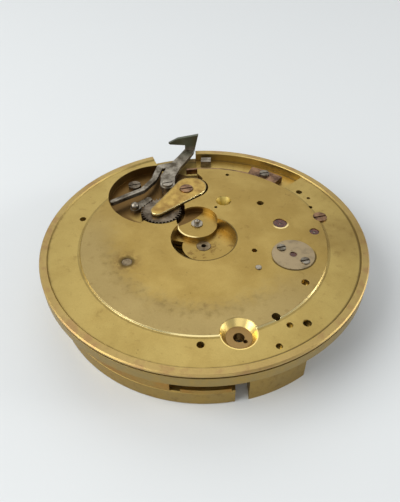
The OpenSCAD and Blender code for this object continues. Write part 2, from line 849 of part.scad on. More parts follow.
module regulator() {
    color(steel) at(balance_at, z_regulator) {
        linear_extrude(regulator_h) difference() {
            union() {
                circle(d = regulator_d);
                rotate(arm_az + regulator_turn)
                    link_2d([0, 0], [regulator_tail, 0], regulator_root_r, regulator_tip_r);
                rotate(arm_az + curb_turn) link_2d([0, 0], [hairspring_r, 0], regulator_root_r, curb_arm_r);
            }
            circle(d = cock_boss_d + 2 * run_gap);
        }
        for (s = [-1, 1]) rotate(arm_az + curb_turn)
            translate([curb_r() + s * (hairspring_w / 2 + curb_gap + curb_pin_d / 2), 0])
                cylinder(d = curb_pin_d, h = z_hairspring + hairspring_h - z_regulator);
    }
}

// Radius of the hairspring's outer turn where the curb pins stand
function curb_r() =
    hairspring_r + (hairspring_r - collet_d / 2 - collet_gap) / hairspring_turns * curb_turn / 360;

// Jewels and endstone cap

cap_screw_reach = 1.85;
cap_screw_az = 124;
cap_screws_at = [polar(cap_screw_reach, cap_screw_az), polar(cap_screw_reach, cap_screw_az + 180)];

module endstone_cap() {
    color(steel) at(balance_at) difference() {
        bar(cap_d, z_top - cap_h, z_top + cap_up);
        bar(endstone_d, z_top - cap_h - over, z_top + over);
        for (p = cap_screws_at) at(p) {
            bar(small_screw_d + 2 * seat_gap, z_top - cap_h - over, z_top + over);
            bar(small_head_d + 2 * seat_gap, z_top - small_head_h / 2, z_top + over);
        }
    }
}

module cap_screws() {
    color(steel) at(balance_at) for (p = cap_screws_at) at(p, z_top - small_head_h / 2)
        screw(small_screw_d - 2 * seat_gap, plain_hole_h, small_head_d, small_head_h);
}

// Jewels in the inner faces of the plates, and under the endstone cap
module plate_jewels() {
    color(ruby) {
        for (p = [third_at, fourth_at]) {
            at(p, z_main) jewel(jewel_d, pivot_d, jewel_h);
            at(p, z_back - jewel_h) jewel(jewel_d, pivot_d, jewel_h);
        }
        at(balance_at, z_top - cap_h - jewel_h) jewel(jewel_d, staff_pivot_d, jewel_h);
    }
}

module cock_jewels() {
    color(ruby) {
        for (p = [escape_at, pallet_at]) at(p, z_escape_cock) jewel(jewel_d, pivot_d, escape_cock_h);
        at(balance_at, z_cock_arm) jewel(jewel_d, staff_pivot_d, cock_arm_h);
    }
}

// Jewels that show on the dial side
module show_jewels() {
    color(ruby) {
        at(escape_at, z_top - jewel_h - show_jewel_down) jewel(show_jewel_d, pivot_d, jewel_h);
        at(pallet_at, z_top - jewel_h - show_jewel_down) jewel(pallet_jewel_d, pivot_d, jewel_h);
        at(balance_at) bar(endstone_d - 2 * seat_gap, z_top - cap_h, z_top - cap_up);
    }
}

// Escapement

module escape_cock() {
    color(gilt) difference() {
        union() {
            plate(z_escape_cock, escape_cock_h) {
                link_2d(escape_screw_at, escape_at, escape_foot_r, escape_cock_r);
                link_2d(escape_screw_at, pallet_at, escape_foot_r, escape_cock_r);
            }
            at(escape_screw_at) bar(2 * escape_foot_r, z_escape_cock, z_main);
        }
        for (p = [escape_at, pallet_at]) at(p) bar(jewel_d, z_escape_cock - over, z_escape_cock + over);
        at(escape_screw_at) bar(screw_d + 2 * seat_gap, z_main - escape_tap_h, z_main + over);
    }
}

module escape_cock_screw() {
    color(blued) at(escape_screw_at, z_top - screw_head_h)
        screw(screw_d, plate_h - screw_head_h + escape_thread_h, screw_head_d, screw_head_h);
}

module escape_wheel() {
    color(steel) at(escape_at, z_escape) linear_extrude(escape_h) difference() {
        escape_teeth_2d();
        circle(d = arbor_d);
        crossing_2d(escape_hub_r, escape_r * escape_rim, escape_spokes, escape_spoke_w);
    }
}

// Club teeth that lean into their turn
module escape_teeth_2d() {
    root = escape_r * 0.78;
    step = 360 / escape_n;
    outline = [[root, -0.3], [root, 0], [escape_r * 0.94, 0.34], [escape_r, 0.4], [escape_r * 0.985, 0.56],
        [escape_r * 0.92, 0.5], [root, 0.42]];
    polygon([for (i = [0:escape_n - 1]) for (c = outline) polar(c[0], (i + c[1]) * step)]);
}

module escape_arbor() {
    color(steel) at(escape_at) {
        bar(arbor_d, z_escape_cock + escape_cock_h + side_gap, z_top - jewel_h - 2 * show_jewel_down);
        bar(pivot_d, z_escape_cock + pivot_short, z_top - show_jewel_down - pivot_short);
        rotate([0, 0, escape_pinion_turn]) translate([0, 0, z_fourth - (pinion_h - wheel_h) / 2])
            linear_extrude(pinion_h) gear_2d(escape_pinion_n, escape_pinion_r);
    }
}

function stone_at(s) = escape_at + polar(escape_r, azimuth(escape_at, pallet_at) + s * pallet_span / 2);
function banking_places() = [for (s = [-1, 1]) pallet_at + polar(banking_at, fork_az)
    + polar(fork_root_r + banking_at * tan(banking_swing) + banking_d / 2 + banking_gap, fork_az + 90 * s)];

module pallet_fork() {
    color(steel) plate(z_fork, fork_h) difference() {
        union() {
            for (s = [-1, 1]) link_2d(pallet_at, stone_at(s), fork_hub_r, stone_r);
            link_2d(pallet_at, pallet_at + polar(fork_reach, fork_az), fork_root_r, fork_arm_r);
            translate(pallet_at + polar(fork_reach, fork_az)) circle(fork_end_r);
        }
        translate(pallet_at) circle(d = arbor_d);
        for (s = [-1, 1]) translate(stone_at(s)) rotate(azimuth(pallet_at, stone_at(s)))
            square(stone_size, center = true);
        translate(pallet_at + polar(fork_reach, fork_az)) rotate(fork_az)
            translate([-fork_slot / 4, -fork_slot / 2]) square([over, fork_slot]);
    }
}

module pallet_stones() {
    color(ruby) for (s = [-1, 1]) at(stone_at(s), z_fork) rotate([0, 0, azimuth(pallet_at, stone_at(s))])
        linear_extrude(fork_h + stone_up)
            square([stone_size.x - 2 * seat_gap, stone_size.y - 2 * seat_gap], center = true);
}

module pallet_arbor() {
    color(steel) at(pallet_at) {
        bar(arbor_d, z_escape_cock + escape_cock_h + side_gap / 2, z_top - jewel_h - 2 * show_jewel_down);
        bar(pivot_d, z_escape_cock + pivot_short, z_top - show_jewel_down - pivot_short);
    }
}

module banking_pins() {
    color(gilt) for (p = banking_places()) at(p) bar(banking_d, z_fork - side_gap, z_main + jewel_h);
}

// Balance

module balance_wheel() {
    color(gilt) at(balance_at, z_balance) {
        difference() {
            cylinder(d = rim_d, h = rim_h);
            translate([0, 0, -over]) cylinder(d = rim_d - 2 * rim_w, h = rim_h + 2 * over);
            rim_screw_holes();
        }
        linear_extrude(balance_arm_h) difference() {
            union() {
                circle(d = balance_hub_d);
                translate([-(rim_d / 2 - rim_w / 2), -balance_arm_w / 2])
                    square([rim_d - rim_w, balance_arm_w]);
            }
            circle(d = staff_d);
        }
    }
}

module rim_screw_places() {
    for (i = [0:rim_screws - 1]) rotate([0, 0, (i + 0.5) * 360 / rim_screws])
        translate([rim_d / 2, 0, rim_h / 2]) rotate([0, 90, 0]) children();
}

module rim_screw_holes() {
    rim_screw_places() translate([0, 0, -rim_w * rim_tap]) cylinder(d = rim_thread_d, h = rim_w);
}

module balance_screws() {
    color(gilt) at(balance_at, z_balance) rim_screw_places() {
        translate([0, 0, 2 * seat_gap]) cylinder(d = rim_screw_d, h = rim_screw_out - 2 * seat_gap);
        translate([0, 0, -rim_w * rim_thread])
            cylinder(d = rim_thread_d - 2 * seat_gap, h = rim_w * rim_thread + rim_screw_out / 2);
    }
}

module balance_staff() {
    color(steel) at(balance_at) {
        bar(staff_d, z_cock_arm + cock_arm_h + side_gap, z_top - cap_h - jewel_h - side_gap);
        bar(staff_pivot_d, z_cock_arm + pivot_short, z_top - cap_h - run_gap);
        bar(collet_d, z_hairspring - pivot_short, z_balance);
    }
}

module roller() {
    color(steel) at(balance_at, z_roller) {
        difference() {
            cylinder(d = roller_d, h = roller_h);
            translate([0, 0, -over]) cylinder(d = staff_d, h = roller_h + 2 * over);
        }
        rotate([0, 0, fork_az + 180]) translate([impulse_r, 0, 0])
            cylinder(d = impulse_d, h = z_fork - z_roller - impulse_gap);
    }
}

// Going train

module barrel_drum() {
    color(gilt) at(barrel_at, z_barrel) difference() {
        union() {
            cylinder(r = root_r(barrel_r, barrel_n), h = barrel_h);
            translate([0, 0, barrel_h - barrel_tooth_h]) linear_extrude(barrel_tooth_h)
                gear_2d(barrel_n, barrel_r);
        }
        translate([0, 0, barrel_floor]) cylinder(r = barrel_in, h = barrel_h);
        translate([0, 0, -over]) cylinder(d = barrel_arbor_d + 2 * run_gap, h = barrel_h);
    }
}

module barrel_cover() {
    color(gilt) at(barrel_at, z_barrel_top - barrel_floor) difference() {
        cylinder(r = barrel_in - seat_gap, h = barrel_floor);
        translate([0, 0, -over]) cylinder(d = barrel_arbor_d + 2 * run_gap, h = barrel_floor + 2 * over);
    }
}

module mainspring() {
    z0 = z_barrel + barrel_floor + barrel_play;
    r1 = barrel_in - mainspring_w / 2 - 2 * seat_gap;
    r0 = r1 - mainspring_turns * (mainspring_w + mainspring_gap);
    echo("mainspring, least gap between its turns", mainspring_gap);
    color(blued) at(barrel_at, z0) linear_extrude(barrel_h - 2 * barrel_floor - 2 * barrel_play)
        polygon(spiral(r0, r1, mainspring_turns, mainspring_w));
}

module barrel_arbor() {
    color(steel) at(barrel_at) {
        bar(barrel_arbor_d, z_winding - pivot_short, z_top - pivot_short);
        bar(barrel_hub_d, z_barrel + barrel_floor + barrel_play, z_barrel_top - barrel_floor - barrel_play);
    }
}

module ratchet_wheel() {
    color(steel) at(barrel_at, z_winding) linear_extrude(winding_h) difference() {
        gear_2d(ratchet_n, ratchet_r);
        circle(d = barrel_arbor_d);
    }
}

module crown_wheel() {
    color(steel) at(crown_at, z_winding) rotate([0, 0, crown_turn]) linear_extrude(winding_h) difference() {
        gear_2d(crown_n, crown_r);
        circle(d = crown_core_d + 2 * run_gap);
    }
}

// Core that the crown wheel turns on, with its screw
module crown_core() {
    color(steel) at(crown_at) {
        bar(crown_core_d, z_winding, winding_sink);
        translate([0, 0, z_winding]) mirror([0, 0, 1])
            screw(screw_d, winding_sink - z_winding + winding_thread_h, crown_head_d,
                z_winding - pivot_short);
    }
}

module click() {
    color(steel) plate(z_winding, winding_h) difference() {
        link_2d(click_at, click_nose_at, click_boss_r, click_nose_r);
        translate(click_at) circle(d = small_screw_d + 2 * run_gap);
    }
}

module click_spring() {
    color(blued) plate(z_winding, winding_sink - z_winding) translate(barrel_at) difference() {
        union() {
            arc_2d(click_reach - click_spring_w / 2, click_reach + click_spring_w / 2,
                [click_spring_tip_az, click_spring_foot[0] + 1]);
            arc_2d(click_reach - click_foot_w / 2, click_reach + click_foot_w / 2, click_spring_foot);
        }
        translate(click_foot_at() - barrel_at) circle(d = small_screw_d + 2 * seat_gap);
    }
}

module click_screws() {
    color(steel) for (p = [click_at, click_foot_at()]) at(p, z_winding - 2 * seat_gap) mirror([0, 0, 1])
        screw(small_screw_d, winding_sink + winding_thread_h, small_head_d, z_winding - click_head_down);
}

module centre_wheel() {
    color(gilt) at(centre_at, z_centre)
        wheel(centre_n, centre_r, wheel_h, 2 * centre_shoulder_r, centre_hub_d, train_spokes, centre_spoke_w);
}

module centre_arbor() {
    color(steel) at(centre_at) difference() {
        union() {
            bar(arbor_d, z_back - back_h / 2, z_back + side_gap + over);
            bar(centre_arbor_d, z_back + side_gap, z_barrel_top);
            bar(2 * centre_shoulder_r, z_barrel_top, z_centre_end);
            rotate([0, 0, centre_pinion_turn]) translate([0, 0, z_barrel_top - barrel_tooth_h - side_gap])
                linear_extrude(barrel_tooth_h + 2 * side_gap) gear_2d(centre_pinion_n, centre_pinion_r);
        }
        bar(centre_bore_d, z_centre_end - centre_bore_h, z_top);
    }
}

module third_wheel() {
    color(gilt) at(third_at, z_third)
        wheel(third_n, third_r, wheel_h, arbor_d, train_hub_d, train_spokes, train_spoke_w);
}

module third_arbor() {
    color(steel) at(third_at) {
        train_shaft();
        rotate([0, 0, third_pinion_turn]) translate([0, 0, z_centre - (pinion_h - wheel_h) / 2])
            linear_extrude(pinion_h) gear_2d(third_pinion_n, third_pinion_r);
    }
}

module fourth_wheel() {
    color(gilt) at(fourth_at, z_fourth)
        wheel(fourth_n, fourth_r, wheel_h, arbor_d, train_hub_d, train_spokes, train_spoke_w);
}

module fourth_arbor() {
    color(steel) at(fourth_at) {
        train_shaft();
        rotate([0, 0, fourth_pinion_turn]) translate([0, 0, z_third - (pinion_h - wheel_h) / 2])
            linear_extrude(pinion_h) gear_2d(fourth_pinion_n, fourth_pinion_r);
    }
}

module train_shaft() {
    bar(arbor_d, z_back + side_gap, z_main - side_gap);
    bar(pivot_d, z_back - jewel_h, z_main + jewel_h);
}

// Motion work

module minute_post() {
    color(steel) at(minute_at) {
        bar(minute_post_d, z_seat, z_post);
        bar(minute_collar_d, z_seat, z_seat + minute_collar_h);
        translate([0, 0, z_post]) sphere(d = minute_post_d);
    }
}

module setting_wheel() {
    color(steel) at(setting_at, z_motion) rotate([0, 0, setting_turn]) linear_extrude(setting_h) difference() {
        gear_2d(setting_n, setting_r);
        circle(d = setting_pin_d + 2 * run_gap);
    }
}

function cock_tip_at() = setting_at + polar(cock_tip_out, azimuth(cock_foot_at, setting_at));

// The gilt cock carries the setting wheel on a pin
module setting_cock() {
    color(gilt) difference() {
        union() {
            plate(z_setting_cock, setting_cock_h)
                link_2d(cock_tip_at(), cock_foot_at, cock_finger_r, cock_foot_r);
            at(cock_foot_at)
                bar(2 * cock_foot_r - 2 * cock_foot_gap, z_floor, z_setting_cock + setting_cock_h / 2);
            at(setting_at) bar(setting_pin_d, z_floor, z_setting_cock + setting_cock_h / 2);
            at(setting_at) bar(setting_foot_d, z_floor, z_motion - side_gap);
        }
        at(setting_screw_at) {
            bar(screw_d + 2 * seat_gap, z_floor - over, z_top + over);
            bar(screw_head_d + 2 * seat_gap, z_top - screw_head_h / 2, z_top + over);
        }
    }
}

module setting_cock_screw() {
    color(steel) at(setting_screw_at, z_top - screw_head_h / 2)
        screw(screw_d, recess_h - screw_head_h / 2, screw_head_d, screw_head_h);
}

// Setting lever and its spring

module lever_2d() {
    link_2d(lever_eye_at, lever_band[0], lever_eye_r, lever_band_r[0]);
    for (i = [0:len(lever_band) - 2])
        link_2d(lever_band[i], lever_band[i + 1], lever_band_r[i], lever_band_r[i + 1]);
    link_2d(lever_band[3], lever_end_at, lever_band_r[3], lever_end_r);
    link_2d(lever_band[1], lever_arm[0], lever_band_r[1], lever_arm_r[0]);
    for (i = [0:len(lever_arm) - 2])
        link_2d(lever_arm[i], lever_arm[i + 1], lever_arm_r[i], lever_arm_r[i + 1]);
}

module setting_lever() {
    color(steel) {
        plate(z_lever, lever_h) difference() {
            lever_2d();
            translate(lever_eye_at) circle(d = lever_pin_d + 2 * run_gap);
        }
        at(lever_end_at, z_lever) rotate([0, 0, tab_turn]) rotate([90, 0, 0])
            translate([0, 0, -tab_t / 2]) linear_extrude(tab_t) polygon([
                [-tab_stem, 0], [tab_stem, 0], [tab_stem, lever_h + tab_low],
                [tab_left.x, lever_h + tab_left.y], [tab_tip.x, lever_h + tab_tip.y],
                [tab_crown.x, lever_h + tab_crown.y * tab_up], [-tab_right_top, lever_h + tab_up]
            ]);
    }
}

module lever_post() {
    color(steel) at(lever_eye_at) {
        bar(lever_foot_d, z_floor, z_lever - run_gap);
        bar(lever_pin_d, z_floor, z_lever + lever_h + run_gap);
        translate([0, 0, z_lever + lever_h + run_gap])
            screw(lever_pin_d / 2, lever_h, lever_head_d, lever_head_h);
    }
}

module setting_spring() {
    color(blued) plate(z_spring, spring_h) difference() {
        union() {
            arc_2d(spring_r - spring_w / 2, spring_r + spring_w / 2, [spring_az[0] - 1, spring_az[1]]);
            arc_2d(spring_r - spring_w / 2, spring_r + spring_foot_w - spring_w / 2, spring_foot_az);
        }
        translate(spring_screw_at()) circle(d = small_screw_d + 2 * seat_gap);
    }
}

function spring_screw_at() = polar(spring_r + spring_foot_w / 2 - spring_w / 2, spring_screw_az);

module spring_screw() {
    color(steel) at(spring_screw_at(), z_spring + spring_h)
        screw(small_screw_d, spring_h, spring_head_d, small_head_h);
}

module stop_block() {
    color(steel) at(polar(block_reach, block_az), z_top - spring_way_h) rotate([0, 0, block_az])
        translate([-block_size.x / 2, -block_size.y / 2, 0]) cube(block_size);
}

module yoke() {
    color(steel) plate(z_floor, yoke_h) link_2d(yoke_at[0], yoke_at[1], yoke_r[0], yoke_r[1]);
}

module yoke_stud() {
    color(steel) at(yoke_at[0]) {
        bar(yoke_stud_d, z_floor + yoke_h, z_floor + yoke_h + yoke_stud_h);
        intersection() {
            translate([0, 0, z_floor + yoke_h + yoke_stud_h]) sphere(d = yoke_stud_d);
            bar(2 * yoke_stud_d, z_floor + yoke_h + yoke_stud_h / 2, z_top + over);
        }
    }
}

module recess_screw() {
    color(steel) at(recess_screw_at, z_floor) screw(screw_d, recess_screw_h, screw_head_d, screw_head_h);
}

module plate_pin() {
    color(steel) at(plate_pin_at) bar(pin_d, z_top - plain_hole_h, z_top + plate_pin_up);
}

main_plate();
back_plate();
pillars();
pillar_screws();
balance_cock();
cock_screw();
cock_pins();
escape_cock();
escape_cock_screw();
endstone_cap();
cap_screws();
plate_jewels();
cock_jewels();
show_jewels();
banking_pins();
hairspring_stud();
hairspring();
setting_cock();
setting_cock_screw();
minute_post();
lever_post();
setting_spring();
spring_screw();
stop_block();
yoke();
yoke_stud();
recess_screw();
plate_pin();
click_spring();
click_screws();
crown_core();
barrel_drum();
barrel_cover();
mainspring();
barrel_arbor();
ratchet_wheel();
crown_wheel();
click();
centre_wheel();
centre_arbor();
setting_wheel();
third_wheel();
third_arbor();
fourth_wheel();
fourth_arbor();
escape_wheel();
escape_arbor();
pallet_fork();
pallet_stones();
pallet_arbor();
balance_wheel();
balance_screws();
balance_staff();
roller();
regulator();
setting_lever();
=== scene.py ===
"""Looks of the pocket watch movement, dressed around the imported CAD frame."""
import json
import math

import bpy
from mathutils import Matrix, Vector


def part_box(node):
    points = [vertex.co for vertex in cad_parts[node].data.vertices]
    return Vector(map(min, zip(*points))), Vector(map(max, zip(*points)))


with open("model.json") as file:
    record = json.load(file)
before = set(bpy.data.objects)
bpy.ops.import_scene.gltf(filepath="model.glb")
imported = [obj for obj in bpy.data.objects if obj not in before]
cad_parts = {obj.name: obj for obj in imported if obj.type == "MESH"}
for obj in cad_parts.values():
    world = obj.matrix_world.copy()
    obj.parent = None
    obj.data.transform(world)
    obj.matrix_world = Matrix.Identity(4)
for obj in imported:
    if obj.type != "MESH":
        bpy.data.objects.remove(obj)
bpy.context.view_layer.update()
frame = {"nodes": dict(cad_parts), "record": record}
MM = 0.001

# Curve of screen colours
SCREEN_TOP = 255
KNEE = 0.04045
KNEE_SLOPE = 12.92
CURVE_LIFT = 0.055
CURVE_POWER = 2.4


def srgb(red, green, blue):
    """A colour as it shows on a screen, 0 to 255, turned into the linear values that shaders take."""
    def linear(value):
        share = value / SCREEN_TOP
        if share <= KNEE:
            return share / KNEE_SLOPE
        return ((share + CURVE_LIFT) / (1 + CURVE_LIFT)) ** CURVE_POWER
    return (linear(red), linear(green), linear(blue), 1.0)


# Camera at the photograph's viewing angle
CAMERA_PLACE = Vector((-11.970, -49.589, 53.075)) * MM
CAMERA_AZIMUTH = -13.0
CAMERA_ELEVATION = 43.134
CAMERA_ROLL = -0.887
CAMERA_LENS = 36.645
CAMERA_SENSOR = 36.0
CAMERA_CLIP = (0.002, 5.0)

camera_data = bpy.data.cameras.new("camera")
camera_data.lens = CAMERA_LENS
camera_data.sensor_width = CAMERA_SENSOR
camera_data.clip_start, camera_data.clip_end = CAMERA_CLIP
camera = bpy.data.objects.new("camera", camera_data)
bpy.context.scene.collection.objects.link(camera)
turn = Matrix.Rotation(math.radians(CAMERA_AZIMUTH), 4, "Z")
tilt = Matrix.Rotation(math.radians(90 - CAMERA_ELEVATION), 4, "X")
roll = Matrix.Rotation(math.radians(CAMERA_ROLL), 4, "Z")
camera.matrix_world = Matrix.Translation(CAMERA_PLACE) @ turn @ tilt @ roll
bpy.context.scene.camera = camera

# Colour sockets of the Mix node, and rays of the Bevel node
MIX_FIRST = 6
MIX_SECOND = 7
MIX_RESULT = 2
BEVEL_SAMPLES = 6

# Kinds of noise
COARSE = {"detail": 5.0, "roughness": 0.6}
FINE = {"detail": 4.0, "roughness": 0.65}
EVEN = {"detail": 4.0, "roughness": 0.55}
PLAIN = {"detail": 3.0, "roughness": 0.55}
SMOOTH = {"detail": 2.0, "roughness": 0.55}

# Limits of noise between which a patch fades in
PATCHES = (0.35, 0.7)


class Shader:
    """A material, with short calls for the nodes it is made of."""

    def __init__(self, name):
        self.material = bpy.data.materials.new(name)
        self.material.use_nodes = True
        self.tree = self.material.node_tree
        self.tree.nodes.clear()
        output = self.add("ShaderNodeOutputMaterial")
        self.surface = self.add("ShaderNodeBsdfPrincipled")
        self.tree.links.new(self.surface.outputs["BSDF"], output.inputs["Surface"])
        self.place = self.add("ShaderNodeTexCoord").outputs["Object"]

    def add(self, kind, **values):
        node = self.tree.nodes.new(kind)
        for key, value in values.items():
            setattr(node, key, value)
        return node

    def put(self, socket, value):
        if isinstance(value, bpy.types.NodeSocket):
            self.tree.links.new(value, socket)
        else:
            socket.default_value = value

    def set(self, **values):
        for key, value in values.items():
            self.put(self.surface.inputs[key.replace("_", " ").title()], value)

    def math(self, operation, first, second=0.0):
        node = self.add("ShaderNodeMath", operation=operation)
        self.put(node.inputs[0], first)
        self.put(node.inputs[1], second)
        return node.outputs["Value"]

    def both(self, first, *others):
        """Product of masks, which is 1 where all of them are."""
        for other in others:
            first = self.math("MULTIPLY", first, other)
        return first

    def either(self, first, *others):
        """The highest of masks."""
        for other in others:
            first = self.math("MAXIMUM", first, other)
        return first

    def axes(self, vector=None):
        node = self.add("ShaderNodeSeparateXYZ")
        self.put(node.inputs["Vector"], vector or self.place)
        return node.outputs

    def vector(self, x=0.0, y=0.0, z=0.0):
        node = self.add("ShaderNodeCombineXYZ")
        for socket, value in zip(node.inputs, (x, y, z)):
            self.put(socket, value)
        return node.outputs["Vector"]

    def scaled(self, factors):
        """The place in the part, with each axis times a factor."""
        node = self.add("ShaderNodeVectorMath", operation="MULTIPLY")
        self.put(node.inputs[0], self.place)
        node.inputs[1].default_value = factors
        return node.outputs["Vector"]

    def away(self, x, y):
        """Distance in the plane from an upright axis, in millimetres."""
        axes = self.axes()
        flat = self.vector(axes["X"], axes["Y"])
        node = self.add("ShaderNodeVectorMath", operation="DISTANCE")
        self.put(node.inputs[0], flat)
        node.inputs[1].default_value = (x * MM, y * MM, 0)
        return self.math("MULTIPLY", node.outputs["Value"], 1 / MM)

    def along(self, x, y):
        """Distance from the middle along a direction in the plane, in millimetres."""
        axes = self.axes(self.scaled((x / MM, y / MM, 0.0)))
        return self.math("ADD", axes["X"], axes["Y"])

    def height(self):
        """Height above the table, in millimetres."""
        return self.math("MULTIPLY", self.axes()["Z"], 1 / MM)

    def noise(self, size, detail, roughness, vector=None):
        """Even noise from 0 to 1, with patches of a size in millimetres."""
        node = self.add("ShaderNodeTexNoise")
        self.put(node.inputs["Vector"], vector or self.place)
        node.inputs["Scale"].default_value = 1 / (size * MM)
        node.inputs["Detail"].default_value = detail
        node.inputs["Roughness"].default_value = roughness
        return node.outputs["Fac"]

    def cells(self, size):
        """Distance from scattered points, in parts of the spacing."""
        node = self.add("ShaderNodeTexVoronoi")
        self.put(node.inputs["Vector"], self.place)
        node.inputs["Scale"].default_value = 1 / (size * MM)
        return node.outputs["Distance"]

    def band(self, value, low, high):
        """0 below low and 1 above high, or the other way round where low is the higher."""
        node = self.add("ShaderNodeMapRange", interpolation_type="SMOOTHSTEP")
        self.put(node.inputs["Value"], value)
        if low < high:
            ends = (low, high, 0.0, 1.0)
        else:
            ends = (high, low, 1.0, 0.0)
        for name, end in zip(("From Min", "From Max", "To Min", "To Max"), ends):
            node.inputs[name].default_value = end
        return node.outputs["Result"]

    def between(self, value, low, high, soft):
        """1 from low to high, fading out over a soft width inside both ends."""
        return self.both(self.band(value, low, low + soft), self.band(value, high, high - soft))

    def span(self, value, low, high):
        """A value from 0 to 1 spread from low to high."""
        node = self.add("ShaderNodeMapRange")
        self.put(node.inputs["Value"], value)
        node.inputs["To Min"].default_value = low
        node.inputs["To Max"].default_value = high
        return node.outputs["Result"]

    def mix(self, share, first, second):
        node = self.add("ShaderNodeMix", data_type="RGBA")
        self.put(node.inputs["Factor"], share)
        self.put(node.inputs[MIX_FIRST], first)
        self.put(node.inputs[MIX_SECOND], second)
        return node.outputs[MIX_RESULT]

    def tint(self, colour, other, mask, share):
        """A colour with a share of another laid over it where a mask is 1."""
        return self.mix(self.both(mask, share), colour, other)

    def rounded(self, radius):
        """Normal of the surface with its edges rounded by a radius in millimetres."""
        bevel = self.add("ShaderNodeBevel", samples=BEVEL_SAMPLES)
        bevel.inputs["Radius"].default_value = radius * MM
        return bevel.outputs["Normal"]

    def edges(self, radius):
        """1 along edges that stand out, 0 on flat ground."""
        dot = self.add("ShaderNodeVectorMath", operation="DOT_PRODUCT")
        self.put(dot.inputs[0], self.rounded(radius))
        self.put(dot.inputs[1], self.add("ShaderNodeNewGeometry").outputs["Normal"])
        return self.math("SUBTRACT", 1.0, dot.outputs["Value"])

    def relief(self, height, depth, strength, radius=0.0):
        """Bump of a depth in millimetres, over edges rounded by a radius in millimetres."""
        bump = self.add("ShaderNodeBump")
        bump.inputs["Strength"].default_value = strength
        bump.inputs["Distance"].default_value = depth * MM
        self.put(bump.inputs["Height"], height)
        if radius:
            self.put(bump.inputs["Normal"], self.rounded(radius))
        self.put(self.surface.inputs["Normal"], bump.outputs["Normal"])


# Colours of gilt brass
GILT = srgb(199, 174, 104)
GILT_DULL = srgb(174, 146, 80)
GILT_PALE = srgb(188, 161, 93)
GILT_GREY = srgb(178, 157, 106)
GILT_BROWN = srgb(122, 92, 48)
POLISHED = srgb(250, 230, 165)
COPPER = srgb(192, 162, 112)
COPPER_RED = srgb(158, 128, 80)
# Dark brown for real tarnish, specks and smudges, and also for painted shade in holes, grooves, the pocket's
# brink, the bowl's corner and under the flange, and for a painted shadow by the endstone cap
TARNISH_AND_SHADE = srgb(74, 60, 34)
OLIVE = srgb(164, 142, 88)
LIP_PINK = srgb(172, 130, 92)
# Brown painted as shade in the keyless recess
RECESS_SHADE_BROWN = srgb(108, 80, 44)
WALL_GOLD = srgb(178, 134, 62)
COCK_GOLD = srgb(200, 168, 92)
COCK_BROWN = srgb(158, 124, 66)
BOWL_GOLD = srgb(226, 204, 122)
SINK_GOLD = srgb(236, 198, 84)

# Finish of gilding: sizes in millimetres, limits of noise, and shares
FROST = 0.09
FROST_SHARE = 0.22
FROST_DEPTH = 0.012
FROST_STRENGTH = 0.35
FROST_ROUGH = 0.08
CLOUD = 3.2
CLOUD_ROUGH = (-0.05, 0.08)
SPECK = 0.7
SPECK_EDGE = (0.16, 0.05)
SPECK_GROUP = 2.6
SPECK_GROUPS = (0.55, 0.7)
SPECK_SHARE = 0.55
POLISH_SMOOTH = 0.6
GILT_ROUGH = 0.42
EDGE_ROUND = 0.05


def frosted(shader, colour, rough=GILT_ROUGH, radius=EDGE_ROUND, polish_and_highlights=None):
    """Finish of gilding: frosted grain, dark specks, rounded edges, and polished places and painted
    highlights where they are asked for.
    """
    grain = shader.noise(FROST, **SMOOTH)
    cloud = shader.noise(CLOUD, **EVEN)
    speck = shader.band(shader.cells(SPECK), *SPECK_EDGE)
    group = shader.band(shader.noise(SPECK_GROUP, **SMOOTH), *SPECK_GROUPS)
    shade = shader.mix(shader.span(grain, 0.0, FROST_SHARE), colour, TARNISH_AND_SHADE)
    shade = shader.tint(shade, TARNISH_AND_SHADE, shader.both(speck, group), SPECK_SHARE)
    grained = shader.span(grain, rough - FROST_ROUGH, rough + FROST_ROUGH)
    roughness = shader.math("ADD", grained, shader.span(cloud, *CLOUD_ROUGH))
    if polish_and_highlights:
        shade = shader.mix(polish_and_highlights, shade, POLISHED)
        dull = shader.math("SUBTRACT", 1.0, shader.both(polish_and_highlights, POLISH_SMOOTH))
        roughness = shader.both(roughness, dull)
    shader.set(base_color=shade, metallic=1.0, roughness=roughness)
    shader.relief(grain, FROST_DEPTH, FROST_STRENGTH, radius)


# Places on the main plate, in millimetres from its middle
MIDDLE = (0.0, 0.0)
SINK = (0.0, -16.4)
BOWL = (4.7, 7.0)
BOWL_SHADE = (5.5, 6.5)
KEYLESS = (-4.0, 11.4)
SETTING = (-4.4, 7.5)
BARREL = (-10.6, -2.15)
SEAT = (0.0, 3.9)
STAIN = (17.9, -4.0)
ESCAPE = (10.87, 0.25)
CAP_MIDDLE = (10.34, -6.09)
BLIND_HOLES = ((5.8, -16.75), (7.8, -16.95), (3.75, -18.95))
LIT_HOLES = BLIND_HOLES + ((9.99, -11.06), (5.77, -4.13))

# Directions on the main plate
FRONT_LEFT = (-0.6, -0.8)
FRONT_RIGHT = (0.6, -0.8)
LEFT = (-0.85, -0.5)

# Noise of the main plate, sizes in millimetres
PLATE_PATCH = 4.5
PLATE_FINE = 1.1

# Soft edges of a sunk place, outwards and upwards, and the heights of the plate's top, in millimetres
SUNK_EDGE = 0.1
SUNK_RISE = 0.06
TOP_FACE = (7.7, 7.78)
TOP_LEVEL = 7.78

# Inner disc: wear and an arc of smudges towards the front left, soot round the barrel arbor, and stains
DISC_RAGGED = (-2.0, 2.0)
WEAR_REACH = (10.0, 14.5)
WEAR_FRONT = (-3.0, 8.0)
WEAR_SHARE = 0.75
ARC_REACH = 12.7
ARC_WIDTH = (1.5, 0.1)
ARC_FRONT = (4.0, 9.0)
SMUDGE = 0.8
SMUDGES = (0.46, 0.68)
SMUDGE_LEAST = 0.3
SMUDGE_SHARE = 0.32
SOOT_REACH = (2.6, 0.9)
SOOT_FLECKS = (0.35, 0.6)
SOOT_SHARE = 0.6
ARBOR_RING = (1.25, 0.8)
ARBOR_RING_SHARE = 0.7
DISC_FLECKS = (0.54, 0.74)
DISC_FLECK_PATCHES = (0.6, 0.45)
DISC_FLECK_SHARE = 0.35
